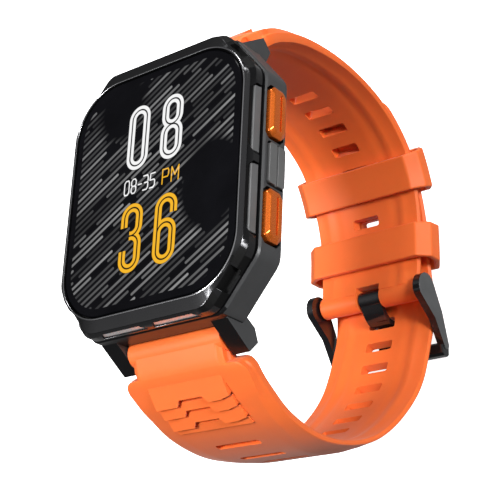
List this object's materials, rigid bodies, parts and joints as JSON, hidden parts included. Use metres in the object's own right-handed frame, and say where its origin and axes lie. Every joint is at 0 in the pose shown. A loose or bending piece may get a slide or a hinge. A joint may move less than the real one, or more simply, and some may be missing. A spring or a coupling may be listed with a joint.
{
  "type": "gps running watch",
  "caption": "Fastened gps running watch: rectangular glass dial in a rugged case, push buttons, orange silicone strap, keepers and tang buckle, with its inner parts.",
  "frame": {"origin": "middle of the bounding box, on the plane that the buckle stands on", "axes": "+X towards the 3 o'clock side with the buttons, +Y towards 12 o'clock, +Z out of the dial"},
  "size_m": [0.047, 0.084, 0.0793],
  "materials": {
    "orange_silicone": "satin moulded silicone",
    "orange_button": "orange anodised, satin",
    "gunmetal": "bead blasted gunmetal coating",
    "grey_shell": "fine matt dark grey",
    "grey_trim": "satin mid grey",
    "black_plastic": "fine matt",
    "cover_glass": "polished black-backed glass over the lit display",
    "sensor_glass": "polished, dark tinted",
    "display": "display module",
    "black_steel": "polished black coating",
    "steel": "turned stainless steel",
    "seal_rubber": "matt",
    "circuit_board": "solder mask",
    "shield_tin": "tinned sheet",
    "cell_wrap": "foil pouch",
    "copper": "flexible copper foil",
    "gold": "gold plated"
  },
  "bodies": {
    "watch": {"back_cover": "black_plastic", "back_gasket": "seal_rubber", "back_screw_1": "steel", "back_screw_2": "steel", "back_screw_3": "steel", "back_screw_4": "steel", "battery": "cell_wrap", "bezel": "gunmetal", "button_seal_lower": "seal_rubber", "button_seal_upper": "seal_rubber", "button_switch_lower": "black_plastic", "button_switch_upper": "black_plastic", "charging_contact_1": "gold", "charging_contact_2": "gold", "chassis": "black_plastic", "cover_glass": "cover_glass", "display_connector": "black_plastic", "display_panel": "display", "glass_gasket": "seal_rubber", "gps_antenna": "copper", "gps_receiver": "shield_tin", "keeper_fixed": "orange_silicone", "main_board": "circuit_board", "microphone": "shield_tin", "mid_case": "grey_shell", "processor_shield": "shield_tin", "sensor_board": "circuit_board", "sensor_window": "sensor_glass", "side_trim": "grey_trim", "speaker": "black_plastic", "spring_bar_12": "steel", "spring_bar_6": "steel", "strap_lower": "orange_silicone", "strap_upper": "orange_silicone", "vibration_motor": "shield_tin"},
    "upper_button": {"button_upper": "orange_button"},
    "lower_button": {"button_lower": "orange_button"},
    "keeper": {"keeper_free": "orange_silicone"},
    "buckle": {"buckle_frame": "black_steel", "buckle_pin": "steel"},
    "tongue": {"buckle_tongue": "black_steel"}
  },
  "joints": [
    {"name": "upper_button_press", "type": "slide", "parent": "watch", "child": "upper_button", "axis": [-1, 0, 0], "range_m": [0, 0.0005], "stiffness_N_per_m": 2000, "springref_m": -0.0005},
    {"name": "lower_button_press", "type": "slide", "parent": "watch", "child": "lower_button", "axis": [-1, 0, 0], "range_m": [0, 0.0005], "stiffness_N_per_m": 2000, "springref_m": -0.0005},
    {"name": "keeper_slide", "type": "hinge", "parent": "watch", "child": "keeper", "pos_m": [0, 0.01236, 0.03755], "axis": [1, 0, 0], "range_deg": [-9, 9]},
    {"name": "buckle_swing", "type": "hinge", "parent": "watch", "child": "buckle", "pos_m": [0, 0.00071, 0.00755], "axis": [1, 0, 0], "range_deg": [0, 3]},
    {"name": "tongue_swing", "type": "hinge", "parent": "buckle", "child": "tongue", "pos_m": [0, 0.00071, 0.00755], "axis": [1, 0, 0], "range_deg": [0, 2]}
  ]
}
